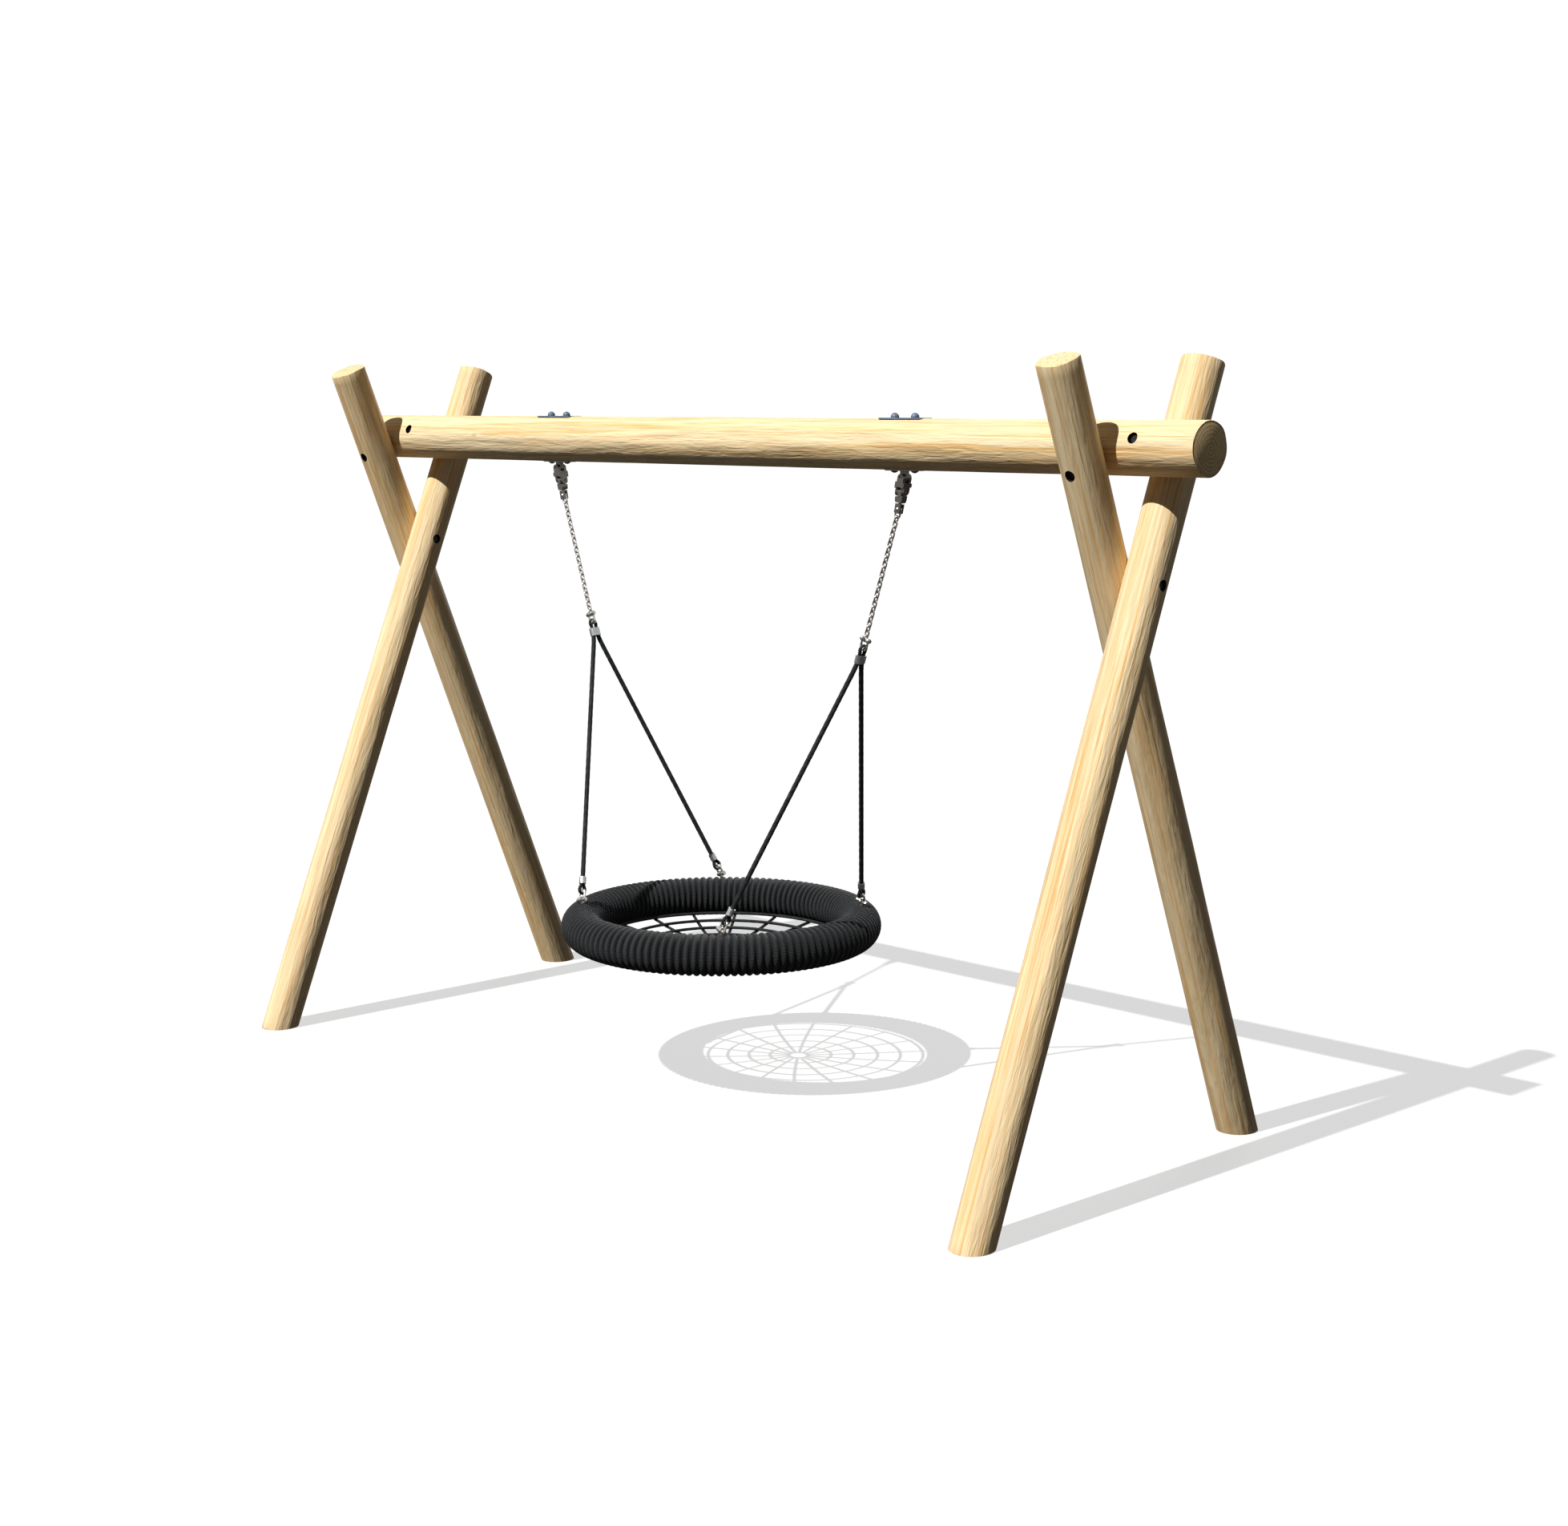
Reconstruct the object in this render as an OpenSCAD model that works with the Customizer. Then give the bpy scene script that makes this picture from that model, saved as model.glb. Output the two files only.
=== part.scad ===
// Basket swing: a rope-wound ring with a net, hung by two chains from a round-log beam
// that rests on two pairs of crossed logs. +X runs along the beam, +Y is the way it swings,
// +Z is up, and the origin lies on the ground under the middle of the beam.

/* [Log frame] */
// Height of the beam's axis above the ground
beam_z = 2376; // [1980:2:2860]
// Diameter of the beam
beam_d = 176; // [146:1:212]
// Length of the beam
beam_len = 4318; // [4100:2:5300]
// Diameter of each leg
leg_d = 143; // [118:1:172]
// Lean of each leg from the vertical, in degrees
leg_lean = 22; // [18:0.5:27]
// Distance between the middles of the two crossed frames
frame_span = 3714; // [3000:2:3880]
// Length of each leg beyond the crossing
leg_top = 746; // [620:1:900]
// Depth of the flat planed on each leg where the two cross
lap_depth = 3; // [1:0.5:8]
// Depth of the saddle that each leg has for the beam
saddle_depth = 1.5; // [0.5:0.5:6]
// Diameter of the frame's bolts
frame_bolt_d = 16; // [12:1:20]
// Diameter of the sunk holes over the frame's bolts
sink_d = 37; // [32:1:44]
// Depth of those holes
sink_depth = 26; // [20:1:34]

/* [Hangers] */
// Distance from the middle of the beam to each hanger
hanger_x = 912; // [760:1:1100]
// Length of the plates on top of the beam
plate_len = 190; // [160:1:230]
// Width of those plates
plate_w = 68; // [50:1:82]
// Length of the plates under the beam
base_len = 150; // [128:1:190]
// Thickness of the plates
plate_t = 5; // [4:0.5:8]
// Depth of the flat planed on the beam for each plate
plate_seat = 4; // [3:0.5:8]
// Distance between the two bolts of a hanger
plate_bolt_gap = 92; // [84:1:120]
// Diameter of the hanger's bolts
plate_bolt_d = 12; // [10:1:14]
// Drop from the lower plate to the upper pin
upper_pin_drop = 24; // [21:0.5:32]
// Distance between the upper and the lower pin
pin_gap = 48; // [46:1:58]
// Lean of the hanger's link and clevis, in degrees
hanger_lean = 13; // [8:0.5:15]
// Diameter of the hanger's pins
pin_d = 10; // [8:0.5:11]
// Thickness of the tongues that turn on the pins
tongue_t = 16; // [12:0.5:18]

/* [Chains] */
// Diameter of the chain's wire
chain_d = 6; // [5:0.5:6.5]
// Inner length of a chain link
link_in = 18.5; // [17:0.5:22]
// Inner width of a chain link
link_w = 9; // [8.5:0.5:10]
// Number of links in each chain
chain_links = 25; // [17:2:33]
// Distance from the middle to the point where each pair of ropes hangs
apex_x = 722; // [640:1:780]
// Diameter of the shackles' wire
shackle_d = 8; // [7:0.5:8]
// Inner width of the shackles
shackle_w = 20; // [18.5:0.5:24]
// Distance from a shackle's pin to the wire of its bow
shackle_len = 38; // [36:1:46]

/* [Basket] */
// Radius of the ring's middle line
ring_r = 525; // [450:1:560]
// Outer diameter of the wound ring
ring_d = 151; // [136:1:160]
// Thickness of the rope wound on the ring
wrap_t = 14; // [8:0.5:16]
// Diameter of the steel tube in the ring
core_d = 60; // [48:1:66]
// Wall of the steel tube
core_wall = 3; // [2:0.5:5]
// Drop from the point where the ropes hang to the lugs' pins
bridle_drop = 996; // [860:1:1120]
// Place of the lugs round the ring, in degrees from the beam's line
lug_angle = 43.5; // [38:0.5:50]
// Height of the lugs' pins over the wound ring
lug_rise = 14; // [13:0.5:22]
// Diameter of the ropes
rope_d = 18; // [16:0.5:19]
// Diameter of the rope pressed round its eyes
eye_d = 14; // [12:0.5:14.5]
// Number of the net's spokes
spokes = 18; // [12:2:22]
// Depth of the net's middle under the ring's middle line
net_depth = 106; // [90:1:140]
// Depth of the net's edge under the ring's middle line
net_edge = 62; // [50:1:66]
// Diameter of the net's cords
net_d = 12; // [8:0.5:13]
// Radius of the net's middle eye
net_eye_r = 38; // [34:1:44]

/* [Hidden] */
$fn = 48;

SIDES = [-1, 1];
gap = 0.2;        // between pieces that lie on each other
run = 0.05;       // running fit of a pin in its bush, on the radius
slack = 1.5;      // between the clevis and the link that it turns in

// Log frame
leg_r = leg_d / 2;
beam_r = beam_d / 2;
cross_z = beam_z - (leg_r + beam_r - saddle_depth) / sin(leg_lean);
leg_pitch = leg_d - 2 * lap_depth;
lap_chord = sqrt(leg_r * leg_r - (leg_r - lap_depth) * (leg_r - lap_depth));
lap_half = lap_chord * (1 / sin(2 * leg_lean) + 1 / tan(2 * leg_lean)) + 6;
leg_below = cross_z / cos(leg_lean) + leg_r * tan(leg_lean) + 1;
bolt_reach = leg_d + beam_r - saddle_depth;
beam_bolt_len = leg_d + beam_d - saddle_depth;
cross_bolt_len = leg_pitch + leg_d;
washer_t = 3;
washer_r = sink_d / 2 - 1.5;
head_t = 10;
head_r = frame_bolt_d * 0.86;
bolt_hole_r = frame_bolt_d / 2 + 0.5;

// Hangers
plate_top_z = beam_z + beam_r - plate_seat;
plate_low_z = beam_z - beam_r + plate_seat;
upper_pin_z = plate_low_z - plate_t - upper_pin_drop;
pin_r = pin_d / 2;
eye_r = pin_r + 9;                 // round ends of the lugs and cheeks
cheek_in = tongue_t / 2 + 0.5;
cheek_out = 20;
pin_sink = 2;                      // the pins end this far inside the cheeks
link_half = 21;                    // half the width of the link across the swing
lean_s = sin(hanger_lean);
lean_c = cos(hanger_lean);
lower_pin = [hanger_x - pin_gap * lean_s, 0, upper_pin_z - pin_gap * lean_c];
clevis_len = 38;                   // from the lower pin to the clevis's foot
clevis_half_y = 13;
clevis_foot = 12.5;
clevis_top = 16.5;
bush_r = pin_r + 2.5;
pocket_h = 11;
swivel_head_r = 7.8;
swivel_head_h = 4;
bolt_head_r = 14;
bolt_head_h = 8;
cap_r = 14.5;
cap_h = 17;
cap_rim = 5;
cap_bore = 11;
swivel_gap = 3.5;                  // of the neck that shows
swivel_len = 33.5;
swivel_half_x = 13;
swivel_half_y = 11;
slot_half = 4.5;
pin_below = 61;                    // from the lower pin to the swivel's pin
swivel_pin_r = 4;
neck_r = 5;
pocket_r = 8.5;
collar_t = 5;
swivel_at = [lower_pin[0] - pin_below * lean_s, 0, lower_pin[2] - pin_below * lean_c];

// Chains: the first link is a long one
big_d = 7;
big_in = 32;
big_w = 14;
chain_step = link_in - gap;
shackle_r = shackle_d / 2;
bow_r = shackle_w / 2 + shackle_r;
last_pin = big_in - swivel_pin_r - 2 * gap + chain_links * chain_step - shackle_r;
lug_x = ring_r * cos(lug_angle);
lug_y = ring_r * sin(lug_angle);
bridle_lean = atan((apex_x - lug_x) / bridle_drop);
// The chain and the ropes both pull through the middle of the shackle's round bow
chain_len = last_pin + shackle_len - bow_r;
chain_lean = asin((swivel_at[0] - apex_x - bow_r * sin(bridle_lean)) / chain_len);
apex_z = swivel_at[2] - chain_len * cos(chain_lean) - bow_r * cos(bridle_lean);

// Bridle and ring
ring_z = apex_z - bridle_drop - ring_d / 2 - lug_rise;
wrap_r = ring_d / 2;
foam_r = wrap_r - wrap_t;
core_r = core_d / 2;
lug_z = ring_z + wrap_r + lug_rise;
rope_r = rope_d / 2;
thimble_t = 1.6;
eye_line = shackle_r + 2 * gap + thimble_t + gap + eye_d / 2;   // radius of an eye's middle line
eye_leg = 19;                       // from an eye's middle to where its legs meet the ferrule
rope_half = rope_r + 0.3;           // half the distance of the two ropes in an upper ferrule
ferrule_h = 30;
ferrule_wall = 4;
fork = eye_leg + ferrule_h + 3;     // from an upper eye to where its ropes part
fork_at = [apex_x - fork * sin(bridle_lean), rope_half, apex_z - fork * cos(bridle_lean)];
rope_way = fork_at - [lug_x, lug_y, lug_z];
rope_len = norm(rope_way);
rope_side = asin(rope_way[0] / rope_len);
rope_tilt = atan(-rope_way[1] / rope_way[2]);
low_eye_leg = 22;
low_ferrule_h = 26;
low_ferrule_r = rope_r + 4;
lug_t = 10;
lug_r = 12;
lug_stem_r = 6;
ear_r = 9;
ear_t = shackle_d + 1;

// Net: cords on a shallow bowl, the hoops on top of the spokes
net_r = net_d / 2;
net_rho = ring_r - 35;
net_rise = net_depth - net_edge;
bowl_r = (net_rho * net_rho + net_rise * net_rise) / (2 * net_rise);
bowl_z = ring_z - net_depth + bowl_r;
net_angle = asin(net_rho / bowl_r);
HOOPS = [0.245, 0.42, 0.6, 0.77, 0.935];       // of the net's radius
eye_tube_r = 7;
spoke_start = asin((net_eye_r + eye_tube_r + gap) / bowl_r);
hoop_r = bowl_r - 2 * net_r - gap;

log_colour = "burlywood";
steel_dark = "dimgray";
bright = "silver";
plastic_blue = "slategray";
black = "#202124";

// Helpers

// A straight round bar from p to q
module rod(p, q, r) {
    d = q - p;
    translate(p)
        rotate([0, acos(d[2] / norm(d)), atan2(d[1], d[0])])
            cylinder(r = r, h = norm(d));
}

// Mirrored copies on both ends of the beam
module both_ends() {
    for (side = SIDES) end(side) children();
}
module end(side) {
    mirror([side < 0 ? 1 : 0, 0, 0]) children();
}

// The four corners of the basket
module corners() {
    for (side = SIDES) end(side)
        for (turn = SIDES) mirror([0, turn < 0 ? 1 : 0, 0]) children();
}

// Frames to draw in: z runs up each line
module at_lower_pin() { translate(lower_pin) children(); }
module at_hanger_line() { translate(lower_pin) rotate([0, hanger_lean, 0]) children(); }
module at_chain_line() { translate(swivel_at) rotate([0, chain_lean, 0]) children(); }
module at_bridle_line() { translate([apex_x, 0, apex_z]) rotate([0, bridle_lean, 0]) children(); }
module at_rope_line() {
    translate([lug_x, lug_y, lug_z]) rotate([rope_tilt, 0, 0]) rotate([0, rope_side, 0]) children();
}

// Round-cornered plate, its lower face at z = 0
module plate(l, w, t, r) {
    linear_extrude(t) {
        square([l - 2 * r, w], center = true);
        square([l, w - 2 * r], center = true);
        for (x = SIDES, y = SIDES) translate([x * (l / 2 - r), y * (w / 2 - r)]) circle(r);
    }
}

// Low round dome on z = 0
module dome(r, h) {
    ball = (r * r + h * h) / (2 * h);
    intersection() {
        translate([0, 0, h - ball]) sphere(ball, $fn = 96);
        cylinder(r = r, h = h);
    }
}

// Outlines drawn in X and Z made t thick along Y, or drawn in Y and Z made t thick along X
module slab_y(t) { rotate([90, 0, 0]) linear_extrude(t, center = true) children(); }
module slab_x(t) { rotate([90, 0, 90]) linear_extrude(t, center = true) children(); }

// Round end at the origin with straight sides down to z = -h
module lug_outline(r, h) {
    circle(r);
    translate([-r, -h]) square([2 * r, h]);
}

// Upper half of a torus that stands in the X and Z plane
module half_ring(line_r, wire_r) {
    rotate([90, 0, 0]) rotate_extrude(angle = 180) translate([line_r, 0]) circle(wire_r);
}

// Log frame. foot is -1 for a leg that stands at the front and 1 for one that stands at the rear

function leg_x(side, foot) = side * frame_span / 2 - foot * leg_pitch / 2;

// z up the leg's axis, the crossing at the origin
module at_leg(side, foot) {
    translate([leg_x(side, foot), 0, cross_z]) rotate([foot * leg_lean, 0, 0]) children();
}

// z along the bolt, from the leg's outer face to the beam's far one
module at_beam_bolt(side, foot) {
    translate([leg_x(side, foot), -foot * bolt_reach * cos(leg_lean), beam_z - bolt_reach * sin(leg_lean)])
        rotate([-foot * (90 - leg_lean), 0, 0]) children();
}

// z along the bolt through both legs, from their outer face at +X
module at_cross_bolt(side) {
    translate([leg_x(side, -1) + leg_r, 0, cross_z]) rotate([0, -90, 0]) children();
}

module bolt_way(len) {
    cylinder(r = bolt_hole_r, h = len);
    translate([0, 0, -leg_r]) cylinder(r = sink_d / 2, h = leg_r + sink_depth);
    translate([0, 0, len - sink_depth]) cylinder(r = sink_d / 2, h = leg_r + sink_depth);
}

// Slab taken off the face that meets the other leg
module lap_cut(foot) {
    x = foot < 0 ? -leg_d - leg_r + lap_depth : leg_r - lap_depth;
    translate([x, -leg_r, -lap_half]) cube([leg_d, leg_d, 2 * lap_half]);
}

module leg(side, foot) {
    color(log_colour) difference() {
        at_leg(side, foot) translate([0, 0, -leg_below]) cylinder(r = leg_r, h = leg_below + leg_top);
        translate([-beam_len, -beam_z, -2 * leg_d]) cube([2 * beam_len, 2 * beam_z, 2 * leg_d]);
        at_leg(side, foot) lap_cut(foot);
        beam_bar(beam_r + gap);
        at_beam_bolt(side, foot) bolt_way(beam_bolt_len);
        at_cross_bolt(side) bolt_way(cross_bolt_len);
    }
}
module leg_left_front() { leg(-1, -1); }
module leg_left_rear() { leg(-1, 1); }
module leg_right_front() { leg(1, -1); }
module leg_right_rear() { leg(1, 1); }

module beam_bar(r) {
    translate([-beam_len / 2, 0, beam_z]) rotate([0, 90, 0]) cylinder(r = r, h = beam_len);
}

module beam() {
    color(log_colour) difference() {
        beam_bar(beam_r);
        both_ends() translate([hanger_x, 0, plate_top_z]) plate_flat(plate_len);
        both_ends() translate([hanger_x, 0, plate_low_z]) mirror([0, 0, 1]) plate_flat(base_len);
        at_plate_bolts() translate([0, 0, beam_z - beam_r]) cylinder(r = plate_bolt_d / 2 + 1, h = beam_d);
        for (side = SIDES, foot = SIDES) at_beam_bolt(side, foot) bolt_way(beam_bolt_len);
    }
}
module plate_flat(l) { translate([-l / 2 - 1, -beam_r, 0]) cube([l + 2, beam_d, beam_r]); }

// Both frame bolts of each leg and one of each crossing
module at_frame_bolts() {
    for (side = SIDES) {
        for (foot = SIDES) at_beam_bolt(side, foot) children(0);
        at_cross_bolt(side) children(1);
    }
}
module frame_bolt(len) {
    seat = sink_depth - washer_t;
    translate([0, 0, seat - head_t]) cylinder(r = head_r, h = head_t, $fn = 6);
    translate([0, 0, seat]) cylinder(r = frame_bolt_d / 2, h = len - 2 * seat + head_t);
}
module frame_washer_pair(len) {
    for (z = [sink_depth - washer_t, len - sink_depth]) translate([0, 0, z]) difference() {
        cylinder(r = washer_r, h = washer_t);
        translate([0, 0, -1]) cylinder(r = bolt_hole_r, h = washer_t + 2);
    }
}
module frame_nut(len) {
    translate([0, 0, len - sink_depth + washer_t]) difference() {
        cylinder(r = head_r, h = head_t, $fn = 6);
        translate([0, 0, -1]) cylinder(r = frame_bolt_d / 2 + run, h = head_t + 2);
    }
}
module frame_bolts() {
    color(steel_dark) at_frame_bolts() {
        frame_bolt(beam_bolt_len);
        frame_bolt(cross_bolt_len);
    }
}
module frame_washers() {
    color(steel_dark) at_frame_bolts() {
        frame_washer_pair(beam_bolt_len);
        frame_washer_pair(cross_bolt_len);
    }
}
module frame_nuts() {
    color(steel_dark) at_frame_bolts() {
        frame_nut(beam_bolt_len);
        frame_nut(cross_bolt_len);
    }
}

// Hangers

module at_plate_bolts() {
    both_ends() for (x = SIDES) translate([hanger_x + x * plate_bolt_gap / 2, 0, 0]) children();
}

module top_plate(side) {
    color(plastic_blue) end(side) difference() {
        translate([hanger_x, 0, plate_top_z]) plate(plate_len, plate_w, plate_t, 6);
        plate_holes(plate_top_z);
    }
}
module plate_holes(z) {
    for (x = SIDES) translate([hanger_x + x * plate_bolt_gap / 2, 0, z - 1])
        cylinder(r = plate_bolt_d / 2 + 0.5, h = plate_t + 2);
}
module top_plate_left() { top_plate(-1); }
module top_plate_right() { top_plate(1); }

module cap_nuts() {
    color(plastic_blue) at_plate_bolts() translate([0, 0, plate_top_z + plate_t]) difference() {
        union() {
            cylinder(r = cap_r, h = cap_rim);
            translate([0, 0, cap_rim]) dome(cap_r, cap_h - cap_rim);
        }
        translate([0, 0, -1]) cylinder(r = plate_bolt_d / 2 + run, h = cap_bore + 1);
    }
}

module hanger_bolts() {
    color(steel_dark) at_plate_bolts() translate([0, 0, plate_low_z - plate_t]) {
        cylinder(r = plate_bolt_d / 2, h = plate_top_z - plate_low_z + 2 * plate_t + cap_bore - 1);
        mirror([0, 0, 1]) dome(bolt_head_r, bolt_head_h);
    }
}

module hanger_base(side) {
    color(steel_dark) end(side) difference() {
        union() {
            translate([hanger_x, 0, plate_low_z - plate_t]) plate(base_len, plate_w - 8, plate_t, 20);
            translate([hanger_x, 0, upper_pin_z]) mirror([0, 0, 1])
                slab_y(tongue_t) lug_outline(eye_r, upper_pin_drop);
        }
        plate_holes(plate_low_z - plate_t);
        at_upper_pin() rotate([90, 0, 0]) cylinder(r = pin_r + run, h = 4 * link_half, center = true);
    }
}
module at_upper_pin() { translate([hanger_x, 0, upper_pin_z]) children(); }
module hanger_base_left() { hanger_base(-1); }
module hanger_base_right() { hanger_base(1); }

module upper_pins() {
    color(steel_dark) both_ends() at_upper_pin() rotate([90, 0, 0])
        cylinder(r = pin_r, h = 2 * (link_half - pin_sink), center = true);
}

// Link that leans with the chain: cheeks across the beam above, cheeks along it below
module gimbal(side) {
    block_low = eye_r + slack;
    block_top = pin_gap - eye_r - slack;
    color(steel_dark) end(side) difference() {
        union() {
            at_hanger_line() slab_y(2 * link_half) translate([0, pin_gap])
                lug_outline(eye_r, pin_gap - block_low);
            intersection() {
                at_hanger_line() slab_y(4 * link_half) translate([-cheek_out, -2 * eye_r])
                    square([2 * cheek_out, 2 * eye_r + block_top]);
                at_lower_pin() slab_x(6 * cheek_out) {
                    circle(eye_r);
                    translate([-eye_r, 0]) square([2 * eye_r, block_low]);
                    translate([-link_half, block_low - 2]) square([2 * link_half, pin_gap]);
                }
            }
        }
        at_hanger_line() translate([-2 * eye_r, -cheek_in, block_top]) cube([4 * eye_r, 2 * cheek_in, pin_gap]);
        at_lower_pin() translate([-cheek_in, -3 * eye_r, -3 * eye_r])
            cube([2 * cheek_in, 6 * eye_r, 3 * eye_r + block_low]);
        at_upper_pin() rotate([90, 0, 0]) cylinder(r = pin_r + run, h = 4 * link_half, center = true);
        at_lower_pin() rotate([0, 90, 0]) cylinder(r = pin_r + run, h = 6 * cheek_out, center = true);
    }
}
module gimbal_left() { gimbal(-1); }
module gimbal_right() { gimbal(1); }

module lower_pins() {
    color(steel_dark) both_ends() at_lower_pin() rotate([0, 90, 0])
        cylinder(r = pin_r, h = 2 * (cheek_out - pin_sink), center = true);
}

// A point of the leaning frame, drawn in X and Z
function leaned(x, z) = [x * lean_c + z * lean_s, z * lean_c - x * lean_s];

module clevis(side) {
    shoulder = eye_r + slack;
    mid = -shoulder * tan(hanger_lean);
    color(steel_dark) end(side) difference() {
        at_lower_pin() {
            slab_x(tongue_t) lug_outline(eye_r, shoulder + 2);
            slab_y(2 * clevis_half_y) polygon([
                [mid - clevis_top, -shoulder], [mid + clevis_top, -shoulder],
                leaned(clevis_top - 1, 8 - clevis_len), leaned(clevis_foot, -clevis_len),
                leaned(-clevis_foot, -clevis_len), leaned(1 - clevis_top, 8 - clevis_len)
            ]);
        }
        at_lower_pin() rotate([0, 90, 0]) cylinder(r = bush_r, h = 6 * cheek_out, center = true);
        at_hanger_line() translate([0, 0, -clevis_len - 1]) cylinder(r = pocket_r, h = pocket_h + 1);
    }
}
module clevis_left() { clevis(-1); }
module clevis_right() { clevis(1); }

module clevis_bushes() {
    color("tan") both_ends() at_lower_pin() rotate([0, 90, 0]) difference() {
        cylinder(r = bush_r, h = tongue_t, center = true);
        cylinder(r = pin_r + run, h = tongue_t + 2, center = true);
    }
}

module swivel(side) {
    crown = clevis_len + swivel_gap;
    slot_top = pin_below - swivel_pin_r - big_d - 3.5;
    color(steel_dark) end(side) at_hanger_line() difference() {
        union() {
            translate([0, 0, -crown - swivel_len])
                plate(2 * swivel_half_x, 2 * swivel_half_y, swivel_len, 3);
            translate([0, 0, -crown - 1]) cylinder(r = neck_r, h = crown + 1 - clevis_len + collar_t + 2);
            translate([0, 0, -clevis_len + collar_t + gap]) cylinder(r = swivel_head_r, h = swivel_head_h);
        }
        translate([-2 * swivel_half_x, -slot_half, -2 * crown - swivel_len])
            cube([4 * swivel_half_x, 2 * slot_half, 2 * crown + swivel_len - slot_top]);
        translate([0, 0, -pin_below]) rotate([90, 0, 0])
            cylinder(r = swivel_pin_r + run, h = 4 * swivel_half_y, center = true);
    }
}
module swivel_left() { swivel(-1); }
module swivel_right() { swivel(1); }

module swivel_collars() {
    color(steel_dark) both_ends() at_hanger_line() translate([0, 0, -clevis_len]) difference() {
        cylinder(r = pocket_r, h = collar_t);
        translate([0, 0, -1]) cylinder(r = neck_r + gap, h = collar_t + 2);
    }
}

module swivel_pins() {
    half = swivel_half_y + gap;
    color(bright) both_ends() at_hanger_line() translate([0, 0, -pin_below]) rotate([90, 0, 0]) {
        cylinder(r = swivel_pin_r, h = 2 * half, center = true);
        for (s = SIDES) translate([0, 0, s * half]) mirror([0, 0, s < 0 ? 1 : 0]) dome(swivel_pin_r + 2.5, 3);
    }
}

// Chains

module link(inner, width, d) {
    straight = inner - width;
    line_r = (width + d) / 2;
    for (s = SIDES) {
        translate([s * line_r, 0, -straight / 2]) cylinder(r = d / 2, h = straight);
        mirror([0, 0, s < 0 ? 1 : 0]) translate([0, 0, straight / 2]) half_ring(line_r, d / 2);
    }
}

module chain(side) {
    first = big_in - swivel_pin_r - 2 * gap + link_in / 2;
    color(bright) end(side) at_chain_line() {
        translate([0, 0, swivel_pin_r + gap - big_in / 2]) link(big_in, big_w, big_d);
        for (k = [0 : chain_links - 1])
            translate([0, 0, -first - k * chain_step])
                rotate([0, 0, k % 2 == 0 ? 90 : 0]) link(link_in, link_w, chain_d);
    }
}
module chain_left() { chain(-1); }
module chain_right() { chain(1); }

// Shackle with its pin's axis at the origin along X and its bow below
module shackle() {
    difference() {
        union() {
            for (s = SIDES) {
                translate([s * bow_r, 0, bow_r - shackle_len]) cylinder(r = shackle_r, h = shackle_len - bow_r);
                translate([s * bow_r, 0, 0]) rotate([0, 90, 0])
                    cylinder(r = ear_r, h = ear_t, center = true);
            }
            translate([0, 0, bow_r - shackle_len]) mirror([0, 0, 1]) half_ring(bow_r, shackle_r);
        }
        rotate([0, 90, 0]) cylinder(r = shackle_r + run, h = 4 * bow_r, center = true);
    }
}
module shackle_pin() {
    half = bow_r + ear_t / 2 + gap;
    rotate([0, 90, 0]) {
        cylinder(r = shackle_r, h = 2 * half, center = true);
        translate([0, 0, half]) cylinder(r = ear_r - 2, h = 5, $fn = 6);
        translate([0, 0, -half - 4]) cylinder(r = ear_r - 2.5, h = 4);
    }
}

module apex_shackle(side) {
    color(bright) end(side) at_chain_line() translate([0, 0, -last_pin]) shackle();
}
module apex_shackle_left() { apex_shackle(-1); }
module apex_shackle_right() { apex_shackle(1); }
module apex_pins() {
    color(bright) both_ends() at_chain_line() translate([0, 0, -last_pin]) shackle_pin();
}

// Ropes. An eye stands in the Y and Z plane, its arc above the origin

module eye_thimble() {
    rotate([90, 0, 90]) rotate_extrude(angle = 180) translate([eye_line, 0]) difference() {
        circle(eye_d / 2 + gap + thimble_t);
        circle(eye_d / 2 + gap);
        translate([1, -eye_d]) square(2 * eye_d);
    }
}
// Two legs leave the arc smoothly and end spread to each side, down under its middle
module eye_loop(spread, down) {
    under = atan2(down, spread) - acos(eye_line / norm([spread, down]));
    rotate([90, 0, 90]) rotate([0, 0, -under - 2])
        rotate_extrude(angle = 184 + 2 * under) translate([eye_line, 0]) circle(eye_d / 2);
    for (s = SIDES)
        rod([0, s * eye_line * cos(under), -eye_line * sin(under)], [0, s * spread, -down], eye_d / 2 - 0.3);
}

module thimbles_upper() { color(bright) both_ends() at_bridle_line() eye_thimble(); }
module thimbles_lower() {
    color(bright) corners() at_rope_line() translate([0, 0, shackle_len]) mirror([0, 0, 1]) eye_thimble();
}

module rope(side) {
    low = low_eye_leg + shackle_len;
    color(black) end(side) {
        at_bridle_line() {
            eye_loop(rope_half, eye_leg);
            for (s = SIDES) {
                translate([0, s * rope_half, -eye_leg]) sphere(rope_r + gap / 2);
                rod([0, s * rope_half, -eye_leg], [0, s * rope_half, -fork], rope_r);
            }
        }
        for (turn = SIDES) mirror([0, turn < 0 ? 1 : 0, 0]) {
            translate(fork_at) sphere(rope_r + gap / 2);
            at_rope_line() {
                translate([0, 0, shackle_len]) mirror([0, 0, 1]) eye_loop(1.5, low_eye_leg);
                translate([0, 0, low]) sphere(rope_r + gap / 2);
                translate([0, 0, low]) cylinder(r = rope_r, h = rope_len - low);
            }
        }
    }
}
module rope_left() { rope(-1); }
module rope_right() { rope(1); }

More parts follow.
